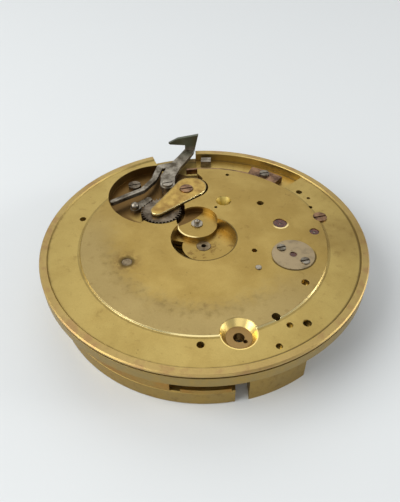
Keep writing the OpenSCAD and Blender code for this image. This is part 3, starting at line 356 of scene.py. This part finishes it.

# Sunk channel, its foot darkened as dirt and painted shade, and the polished bevel above it
CHANNEL_REACH = (16.25, 16.45)
CHANNEL_DULL = 0.5
CHANNEL_FLECKS = (0.56, 0.75)
CHANNEL_FLECK_SHARE = 0.3
FOOT_RING = (16.38, 16.7, 0.08)
FOOT_DIRT_AND_SHADE_SHARE = (0.1, 0.6)
BEVEL_RING = (16.0, 16.7, 0.1)
BEVEL_LEVEL = (7.6, 7.8, 0.04)

# Rubbed lip, the groove inside it darkened as dirt and painted shade, stronger towards the right, and the
# flange below it
LIP_RAGGED = 0.9
LIP_REACH = (20.75, 21.25)
LIP_SHARE = 0.35
BLOTCH = 1.9
BLOTCHES = (0.48, 0.66)
BLOTCH_SHARE = 0.5
GROOVE_RING = (20.2, 20.56, 0.14)
GROOVE_RIGHT = (-8.0, 16.0)
GROOVE_FLECKS = (-0.1, 0.5)
GROOVE_DIRT_AND_SHADE_SHARE = 0.62
FLANGE_LEVEL = (7.5, 7.3)
FLANGE_REACH = (20.9, 21.1)
FLANGE_PATCHES = (0.4, 0.7)
STAIN_REACH = (6.0, 1.5)
STAIN_FLECKS = (0.2, 0.9)
STAIN_SHARE = 0.6

# Keyless recess, darkened with painted shade but for an unshaded place at its front left
RECESS_LEVEL = 7.55
KEYLESS_RADIUS = 7.5
SETTING_RADIUS = 3.5
UNSHADED_LEFT = (-5.0, -7.5)
UNSHADED_FRONT = (9.5, 7.5)
UNSHADED_REACH = (5.9, 5.4)
RECESS_SHADE_SHARE = (0.92, 0.1)

# Motion-work pocket, its brink darkened with painted shade on the front right, and the bare seat with a
# painted highlight on the left of its ridge
POCKET_RADIUS = 4.5
POCKET_LEVEL = 6.6
POCKET_FLECKS = (0.52, 0.66)
POCKET_FLECK_SHARE = 0.6
BRINK_RING = (4.36, 4.58, 0.06)
BRINK_FRONT = (-2.0, 1.0)
BRINK_SHADE_SHARE = 0.75
SEAT_RADIUS = 2.9
SEAT_LEVEL = 7.2
SEAT_TOP = (6.84, 6.88)
RIDGE_RING = (2.58, 2.9, 0.06)
RIDGE_LEFT = (-0.4, 0.3)

# Round sink, small bowl with painted shade in one corner, and plain holes painted dark inside as shade, with
# painted highlights on their right walls
SINK_RADIUS = 2.2
SINK_FLOOR_RADIUS = 1.6
SINK_FLOOR = 6.98
SINK_SIDE = (6.92, 7.0)
SINK_POLISH = 0.55
BOWL_RADIUS = 1.2
BOWL_SHADE_REACH = (0.75, 0.35)
BOWL_SHADE_SHARE = 0.85
HOLE_LEVEL = 7.5
HOLE_RADIUS = 0.9
HOLE_SHADE_SHARE = 0.85
HOLE_WALL = 0.62
HOLE_RIGHT = (0.16, 0.34)

# Painted shadow at the front edge of the endstone cap's seat, and painted highlight on the front edge of the
# escape jewel's
CAP_RING = (2.6, 3.0, 0.08)
CAP_FRONT = (-5.5, -7.0)
CAP_SHADOW_SHARE = 0.8
JEWEL_RING = (0.9, 1.22, 0.06)
JEWEL_FRONT = (0.2, -0.6)
PAINTED_HIGHLIGHT_SHARE = 0.7


class PlateShader(Shader):
    """The main plate: inner disc, bright channel, rubbed lip, olive flange, recess darkened with painted
    shade, polished sinks, and painted shade and highlights at some holes and edges.
    """

    def __init__(self):
        super().__init__("plate_gilt")
        self.reach = self.away(*MIDDLE)
        self.up = self.height()
        self.patches = self.noise(PLATE_PATCH, **COARSE)
        self.fine = self.noise(PLATE_FINE, **FINE)
        flat = self.axes(self.scaled((1 / MM, 1 / MM, 0.0)))
        self.x = flat["X"]
        self.y = flat["Y"]
        colour = self.mix(self.band(self.reach, *CHANNEL_REACH), self.disc(), self.channel())
        colour = self.recess(self.lip(colour))
        colour = self.holes(self.hollows(self.pocket(colour)))
        frosted(self, colour, polish_and_highlights=self.polish_and_highlights())

    def sunk(self, place, radius, level):
        """1 inside a radius of a place and below a level."""
        near = self.band(self.away(*place), radius, radius - SUNK_EDGE)
        return self.both(near, self.band(self.up, level, level - SUNK_RISE))

    def disc(self):
        front = self.along(*FRONT_LEFT)
        ragged = self.math("ADD", self.reach, self.span(self.fine, *DISC_RAGGED))
        worn = self.both(self.band(ragged, *WEAR_REACH), self.band(front, *WEAR_FRONT))
        colour = self.mix(self.band(self.patches, *PATCHES), GILT_DULL, GILT_PALE)
        colour = self.tint(colour, GILT_GREY, worn, WEAR_SHARE)
        off_arc = self.math("ABSOLUTE", self.math("SUBTRACT", ragged, ARC_REACH))
        arc = self.both(self.band(off_arc, *ARC_WIDTH), self.band(front, *ARC_FRONT))
        smudge = self.span(self.band(self.noise(SMUDGE, **PLAIN), *SMUDGES), SMUDGE_LEAST, 1.0)
        colour = self.tint(colour, TARNISH_AND_SHADE, self.both(arc, smudge), SMUDGE_SHARE)
        soot = self.both(self.band(self.away(*BARREL), *SOOT_REACH), self.band(self.fine, *SOOT_FLECKS))
        colour = self.tint(colour, GILT_BROWN, soot, SOOT_SHARE)
        colour = self.tint(colour, TARNISH_AND_SHADE, self.band(self.away(*BARREL), *ARBOR_RING), ARBOR_RING_SHARE)
        stain = self.both(self.band(self.fine, *DISC_FLECKS), self.band(self.patches, *DISC_FLECK_PATCHES))
        return self.tint(colour, GILT_BROWN, stain, DISC_FLECK_SHARE)

    def channel(self):
        colour = self.tint(GILT, GILT_DULL, self.band(self.patches, *PATCHES), CHANNEL_DULL)
        return self.tint(colour, GILT_BROWN, self.band(self.fine, *CHANNEL_FLECKS), CHANNEL_FLECK_SHARE)

    def lip(self, colour):
        """The lip with its groove, the channel's foot, and the flange; groove and foot are darkened as grime
        and painted shade.
        """
        ragged = self.math("ADD", self.both(self.fine, LIP_RAGGED), self.reach)
        rubbed = self.band(ragged, *LIP_REACH)
        colour = self.tint(colour, COPPER, rubbed, LIP_SHARE)
        blotch = self.band(self.noise(BLOTCH, **PLAIN), *BLOTCHES)
        colour = self.tint(colour, LIP_PINK, self.both(rubbed, blotch), BLOTCH_SHARE)
        patchy = self.math("ADD", self.span(self.fine, *GROOVE_FLECKS), self.band(self.x, *GROOVE_RIGHT))
        # Dark lines in the groove and at the channel's foot: grime and painted shade, stronger on the right
        groove_dirt_and_shade = self.both(self.between(self.reach, *GROOVE_RING), self.math("MINIMUM", patchy, GROOVE_DIRT_AND_SHADE_SHARE))
        foot = self.both(self.between(self.reach, *FOOT_RING), self.span(self.patches, *FOOT_DIRT_AND_SHADE_SHARE))
        colour = self.mix(self.either(groove_dirt_and_shade, foot), colour, TARNISH_AND_SHADE)
        side = self.both(self.band(self.up, *FLANGE_LEVEL), self.band(self.reach, *FLANGE_REACH))
        return self.mix(side, colour, self.mix(self.band(self.fine, *FLANGE_PATCHES), OLIVE, GILT_DULL))

    def recess(self, colour):
        # Painted shade darkens the keyless and setting recesses, lifted at the unshaded place at the front
        # left
        keyless = self.sunk(KEYLESS, KEYLESS_RADIUS, RECESS_LEVEL)
        floor_area = self.either(keyless, self.sunk(SETTING, SETTING_RADIUS, RECESS_LEVEL))
        corner = self.both(self.band(self.x, *UNSHADED_LEFT), self.band(self.y, *UNSHADED_FRONT))
        unshaded = self.both(corner, self.band(self.away(*KEYLESS), *UNSHADED_REACH))
        return self.mix(self.both(floor_area, self.span(unshaded, *RECESS_SHADE_SHARE)), colour, RECESS_SHADE_BROWN)

    def pocket(self, colour):
        inside = self.sunk(MIDDLE, POCKET_RADIUS, POCKET_LEVEL)
        flecks = self.both(inside, self.band(self.fine, *POCKET_FLECKS))
        colour = self.tint(colour, GILT_BROWN, flecks, POCKET_FLECK_SHARE)
        # Painted shade along the pocket's brink, on its front right side
        brink = self.both(self.between(self.reach, *BRINK_RING), self.band(self.up, *TOP_FACE))
        facing = self.band(self.along(*FRONT_RIGHT), *BRINK_FRONT)
        return self.tint(colour, TARNISH_AND_SHADE, self.both(brink, facing), BRINK_SHADE_SHARE)

    def sink_side(self):
        return self.both(self.sunk(SINK, SINK_RADIUS, TOP_LEVEL), self.band(self.up, *SINK_SIDE))

    def hollows(self, colour):
        """The round sink, the stain at the right edge, and the bowl with painted shade in its corner."""
        colour = self.mix(self.sunk(SINK, SINK_FLOOR_RADIUS, SINK_FLOOR), colour, COPPER_RED)
        colour = self.mix(self.sink_side(), colour, SINK_GOLD)
        stain = self.both(self.band(self.away(*STAIN), *STAIN_REACH), self.span(self.fine, *STAIN_FLECKS))
        colour = self.tint(colour, GILT_BROWN, stain, STAIN_SHARE)
        bowl = self.sunk(BOWL, BOWL_RADIUS, TOP_LEVEL)
        colour = self.mix(bowl, colour, BOWL_GOLD)
        corner = self.both(bowl, self.band(self.away(*BOWL_SHADE), *BOWL_SHADE_REACH))
        return self.tint(colour, TARNISH_AND_SHADE, corner, BOWL_SHADE_SHARE)

    def holes(self, colour):
        """Painted shade inside the blind holes, and a painted shadow along the front edge beside the
        endstone cap.
        """
        for hole in BLIND_HOLES:
            colour = self.tint(colour, TARNISH_AND_SHADE, self.sunk(hole, HOLE_RADIUS, HOLE_LEVEL), HOLE_SHADE_SHARE)
        # Painted shadow of the raised endstone cap, on its front side
        ring = self.both(self.between(self.away(*CAP_MIDDLE), *CAP_RING), self.band(self.up, *TOP_FACE))
        return self.tint(colour, TARNISH_AND_SHADE, self.both(ring, self.band(self.y, *CAP_FRONT)), CAP_SHADOW_SHARE)

    def polish_and_highlights(self):
        """Polished bevel and sink all round, and painted highlights on the left of the seat's ridge, the
        front edge of a jewel, and the right walls of holes.
        """
        bevel = self.both(self.between(self.reach, *BEVEL_RING), self.between(self.up, *BEVEL_LEVEL))
        seat = self.both(self.sunk(SEAT, SEAT_RADIUS, SEAT_LEVEL), self.band(self.up, *SEAT_TOP))
        ridge = self.both(seat, self.between(self.away(*SEAT), *RIDGE_RING))
        ridge = self.both(ridge, self.band(self.along(*LEFT), *RIDGE_LEFT))
        jewel = self.both(self.between(self.away(*ESCAPE), *JEWEL_RING), self.band(self.y, *JEWEL_FRONT))
        # Painted highlights, each kept to the side of a place that faces the lamps
        painted_highlights = self.either(ridge, jewel)
        for hole in LIT_HOLES:
            beside = self.band(self.math("SUBTRACT", self.x, hole[0]), *HOLE_RIGHT)
            painted_highlights = self.either(painted_highlights, self.both(self.sunk(hole, HOLE_WALL, HOLE_LEVEL), beside))
        return self.either(bevel, self.both(self.sink_side(), SINK_POLISH), self.both(painted_highlights, PAINTED_HIGHLIGHT_SHARE))


def worn_gilt(name, main, patch, patch_size, patch_limits, patch_share, fine_size, fine_limits, brown_share,
              rough, painted_shade_level=None, painted_shade_share=0.0):
    """Gilding of one colour with patches of another, brown flecks, and painted shade above a level."""
    shader = Shader(name)
    patches = shader.band(shader.noise(patch_size, **COARSE), *patch_limits)
    flecks = shader.band(shader.noise(fine_size, **FINE), *fine_limits)
    colour = shader.tint(main, patch, patches, patch_share)
    colour = shader.tint(colour, GILT_BROWN, flecks, brown_share)
    # Painted shade, darkening the part above a level
    if painted_shade_level:
        colour = shader.tint(colour, TARNISH_AND_SHADE, shader.band(shader.height(), *painted_shade_level), painted_shade_share)
    frosted(shader, colour, rough=rough)
    return shader.material


# Setting cock
COCK_PATCH = 1.6
COCK_ROUGH = 0.36
COCK_BEVEL = 0.3
COCK_EDGES = (0.02, 0.1)


def bright_gilt():
    """The setting cock, with a polished bevel along its edges."""
    shader = Shader("bright_gilt")
    patches = shader.noise(COCK_PATCH, **EVEN)
    colour = shader.mix(shader.band(patches, *PATCHES), COCK_GOLD, COCK_BROWN)
    polish_and_highlights = shader.band(shader.edges(COCK_BEVEL), *COCK_EDGES)
    frosted(shader, colour, rough=COCK_ROUGH, radius=COCK_BEVEL, polish_and_highlights=polish_and_highlights)
    return shader.material


# Colours of steel, blued steel and ruby
STEEL = srgb(176, 168, 152)
STEEL_DARK = srgb(92, 84, 70)
STEEL_MID = srgb(148, 141, 128)
RUST = srgb(88, 66, 44)
# Dark colour painted on the lever's thumb tab as shade
TAB_SHADE_STEEL = srgb(112, 118, 100)
CAP_STEEL = srgb(158, 138, 102)
SHADED = srgb(138, 126, 108)
SHADED_DARK = srgb(70, 61, 50)
WORN = srgb(150, 134, 106)
WORN_DARK = srgb(80, 67, 50)
BROWNED = srgb(166, 130, 98)
BROWNED_DARK = srgb(78, 58, 48)
BLUED = srgb(132, 112, 118)
BLUED_DARK = srgb(60, 48, 58)
RUBY = srgb(90, 42, 24)
RUBY_DEEP = srgb(38, 16, 8)

# Finish of steel: sizes in millimetres, limits of noise, and shares
DRAWN = 0.06
DRAWN_SHARE = 0.35
DRAWN_DEPTH = 0.008
DRAWN_STRENGTH = 0.3
STEEL_PATCH = 1.4
STEEL_FINE = 0.35
STEEL_ROUGH = 0.36
ROUGH_LOWER = 0.06
ROUGH_HIGHER = 0.16
RUST_FLECKS = (0.52, 0.72)
RUST_SHARE = 0.35
EVEN_GRAIN = (1.0, 1.0, 1.0)
LEVER_GRAIN = (1.0, 0.12, 1.0)
TAB_LEVEL = (7.85, 8.5)
TAB_SHADE_SHARE = 0.9


def steel(name, light, dark, rough=STEEL_ROUGH, grain=EVEN_GRAIN, rust=RUST_SHARE):
    """Tarnished steel with a drawn grain along one axis."""
    shader = Shader(name)
    drawn = shader.noise(DRAWN, vector=shader.scaled(grain), **SMOOTH)
    patches = shader.noise(STEEL_PATCH, **COARSE)
    fine = shader.noise(STEEL_FINE, **FINE)
    colour = shader.mix(shader.band(patches, *PATCHES), light, dark)
    colour = shader.mix(shader.span(drawn, 0.0, DRAWN_SHARE), colour, dark)
    colour = shader.tint(colour, RUST, shader.band(fine, *RUST_FLECKS), rust)
    roughness = shader.span(patches, rough - ROUGH_LOWER, rough + ROUGH_HIGHER)
    shader.set(base_color=colour, metallic=1.0, roughness=roughness)
    shader.relief(drawn, DRAWN_DEPTH, DRAWN_STRENGTH, EDGE_ROUND)
    return shader


def lever_steel():
    """The setting lever, drawn along its length, with its thumb tab painted dark as shade."""
    shader = steel("lever_steel", STEEL, STEEL_DARK, grain=LEVER_GRAIN)
    lower = shader.surface.inputs["Base Color"].links[0].from_socket
    tab = shader.band(shader.height(), *TAB_LEVEL)
    shader.set(base_color=shader.tint(lower, TAB_SHADE_STEEL, tab, TAB_SHADE_SHARE))
    return shader.material


# Endstone cap
CAP_CIRCLES = 0.07
CAP_CIRCLE_SHARE = 0.3
CAP_PATCH = 1.2
CAP_PATCHES = (0.5, 0.75)
CAP_FINE = 0.4
CAP_FLECKS = (0.62, 0.75)
CAP_SPOT_SHARE = 0.4
CAP_CORE = (0.7, 0.3)
CAP_CORE_SHARE = 0.6
CAP_ROUGH = (0.3, 0.46)
CAP_DEPTH = 0.005
CAP_STRENGTH = 0.3
SMALL_ROUND = 0.04


def cap_steel():
    """The endstone cap, polished in circles and spotted."""
    shader = Shader("cap_steel")
    low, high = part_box("endstone_cap")
    middle = (low + high) / 2 / MM
    reach = shader.away(middle.x, middle.y)
    circles = shader.noise(CAP_CIRCLES, vector=shader.vector(shader.both(reach, MM)), **SMOOTH)
    patches = shader.noise(CAP_PATCH, **EVEN)
    fine = shader.noise(CAP_FINE, **PLAIN)
    colour = shader.mix(shader.span(circles, 0.0, CAP_CIRCLE_SHARE), CAP_STEEL, STEEL)
    colour = shader.tint(colour, STEEL_DARK, shader.band(patches, *CAP_PATCHES), CAP_SPOT_SHARE)
    colour = shader.tint(colour, RUST, shader.band(fine, *CAP_FLECKS), CAP_SPOT_SHARE)
    colour = shader.tint(colour, STEEL_DARK, shader.band(reach, *CAP_CORE), CAP_CORE_SHARE)
    shader.set(base_color=colour, metallic=1.0, roughness=shader.span(patches, *CAP_ROUGH))
    shader.relief(circles, CAP_DEPTH, CAP_STRENGTH, SMALL_ROUND)
    return shader.material


# Blued steel
BLUE_PATCH = 1.1
BLUE_FINE = 0.3
BLUE_FLECKS = (0.55, 0.75)
BLUE_FLECK_SHARE = 0.5
BLUE_ROUGH = (0.24, 0.4)
BLUE_DEPTH = 0.006
BLUE_STRENGTH = 0.25


def blued_steel():
    """Heat-blued springs and screws, worn towards grey."""
    shader = Shader("blued_steel")
    patches = shader.noise(BLUE_PATCH, **EVEN)
    fine = shader.noise(BLUE_FINE, **EVEN)
    colour = shader.mix(shader.band(patches, *PATCHES), BLUED, BLUED_DARK)
    colour = shader.tint(colour, STEEL, shader.band(fine, *BLUE_FLECKS), BLUE_FLECK_SHARE)
    shader.set(base_color=colour, metallic=1.0, roughness=shader.span(patches, *BLUE_ROUGH))
    shader.relief(fine, BLUE_DEPTH, BLUE_STRENGTH, SMALL_ROUND)
    return shader.material


# Ruby
RUBY_CLOUD = 0.35
RUBY_ROUGH = (0.08, 0.2)
RUBY_BEND = 1.4
RUBY_DEPTH = 0.004
RUBY_STRENGTH = 0.2


def ruby():
    """Jewels: deep red, clouded inside, with a polished skin."""
    shader = Shader("ruby")
    cloud = shader.noise(RUBY_CLOUD, **EVEN)
    colour = shader.mix(shader.band(cloud, *PATCHES), RUBY, RUBY_DEEP)
    shader.set(base_color=colour, roughness=shader.span(cloud, *RUBY_ROUGH))
    shader.surface.inputs["IOR"].default_value = RUBY_BEND
    shader.relief(cloud, RUBY_DEPTH, RUBY_STRENGTH)
    return shader.material


# Looks of the nodes
PLATE = PlateShader().material
WHEEL = worn_gilt("wheel_gilt", GILT, GILT_DULL, patch_size=3.0, patch_limits=PATCHES, patch_share=1.0,
                  fine_size=0.8, fine_limits=(0.55, 0.75), brown_share=0.4, rough=GILT_ROUGH)
EDGE = worn_gilt("edge_gilt", GILT_DULL, OLIVE, patch_size=2.4, patch_limits=(0.35, 0.68), patch_share=0.6,
                 fine_size=0.7, fine_limits=(0.5, 0.75), brown_share=0.5, rough=0.48)
# The wall darkens towards its top: painted shade under the flange
WALL = worn_gilt("wall_gilt", WALL_GOLD, GILT_DULL, patch_size=2.2, patch_limits=(0.35, 0.68),
                 patch_share=1.0, fine_size=0.7, fine_limits=(0.5, 0.75), brown_share=0.4, rough=0.46,
                 painted_shade_level=(4.2, 5.5), painted_shade_share=0.8)
BRIGHT = bright_gilt()
LEVER = lever_steel()
TARNISHED = steel("tarnished_steel", STEEL, STEEL_DARK).material
SHADED_STEEL = steel("shaded_steel", SHADED, SHADED_DARK).material
WINDING_STEEL = steel("winding_steel", STEEL, STEEL_MID, rough=0.26, rust=0.12).material
WORN_STEEL = steel("worn_steel", WORN, WORN_DARK).material
BROWNED_STEEL = steel("browned_steel", BROWNED, BROWNED_DARK, rough=0.3).material
CAP = cap_steel()
BLUE = blued_steel()
JEWEL = ruby()

SLOT_LOOKS = {"gilt_brass": WHEEL, "steel": TARNISHED, "blued_steel": BLUE, "ruby": JEWEL}
NODE_LOOKS = {
    "main_plate": PLATE,
    "back_plate": EDGE,
    "pillars": WALL,
    "balance_cock": EDGE,
    "setting_cock": BRIGHT,
    "setting_lever": LEVER,
    "endstone_cap": CAP,
    "barrel_arbor": WORN_STEEL,
    "centre_arbor": WORN_STEEL,
    "recess_screw": SHADED_STEEL,
    "setting_wheel": SHADED_STEEL,
    "ratchet_wheel": WINDING_STEEL,
    "crown_wheel": WINDING_STEEL,
    "setting_spring": BROWNED_STEEL,
    "setting_cock_screw": BROWNED_STEEL,
    "escape_cock_screw": BROWNED_STEEL,
}
for part in frame["record"]["subparts"]:
    thing = frame["nodes"][part["node"]]
    look = NODE_LOOKS.get(part["node"], SLOT_LOOKS[part["material_slot"]])
    for holder in thing.material_slots:
        holder.material = look

# Floor of plain paper
FLOOR_SIZE = 1.6
FLOOR_COLOUR = srgb(218, 221, 221)
FLOOR_SHADE = srgb(200, 202, 202)
FLOOR_ROUGH = 0.8
FIBRE = 0.5
FIBRE_SHARE = 0.04
FIBRE_DEPTH = 0.01
FIBRE_STRENGTH = 0.1

half = FLOOR_SIZE / 2
corners = [(-half, -half, 0), (half, -half, 0), (half, half, 0), (-half, half, 0)]
floor_data = bpy.data.meshes.new("floor")
floor_data.from_pydata(corners, [], [(0, 1, 2, 3)])
floor = bpy.data.objects.new("floor", floor_data)
bpy.context.scene.collection.objects.link(floor)
paper = Shader("paper")
fibre = paper.noise(FIBRE, **EVEN)
paper_colour = paper.mix(paper.span(fibre, 0.0, FIBRE_SHARE), FLOOR_COLOUR, FLOOR_SHADE)
paper.set(base_color=paper_colour, roughness=FLOOR_ROUGH)
paper.relief(fibre, FIBRE_DEPTH, FIBRE_STRENGTH)
floor_data.materials.append(paper.material)

# Studio lights: place and size in metres, and power in watts
LIGHTS = {
    "left": (Vector((-0.34, -0.02, 0.27)), 0.40, 1.75),
    "right": (Vector((0.35, -0.13, 0.17)), 0.11, 0.28),
    "front": (Vector((-0.12, -0.40, 0.24)), 0.40, 0.26),
    "low_right": (Vector((0.50, -0.03, 0.09)), 0.22, 0.44),
    "back": (Vector((0.06, 0.33, 0.43)), 0.42, 0.48),
}
SKY_COLOUR = srgb(250, 252, 255)
SKY_STRENGTH = 0.42


def area_light(name, place, size, power):
    """A round soft light that faces the middle of the part."""
    lamp = bpy.data.lights.new(name, "AREA")
    lamp.shape = "DISK"
    lamp.size = size
    lamp.energy = power
    holder = bpy.data.objects.new(name, lamp)
    holder.location = place
    holder.rotation_euler = (-place).to_track_quat("-Z", "Y").to_euler()
    bpy.context.scene.collection.objects.link(holder)


for name, (place, size, power) in LIGHTS.items():
    area_light(name, place, size, power)

world = bpy.data.worlds.new("studio")
world.use_nodes = True
sky = world.node_tree.nodes["Background"]
sky.inputs["Color"].default_value = SKY_COLOUR
sky.inputs["Strength"].default_value = SKY_STRENGTH
bpy.context.scene.world = world
bpy.context.scene.view_settings.view_transform = "Standard"
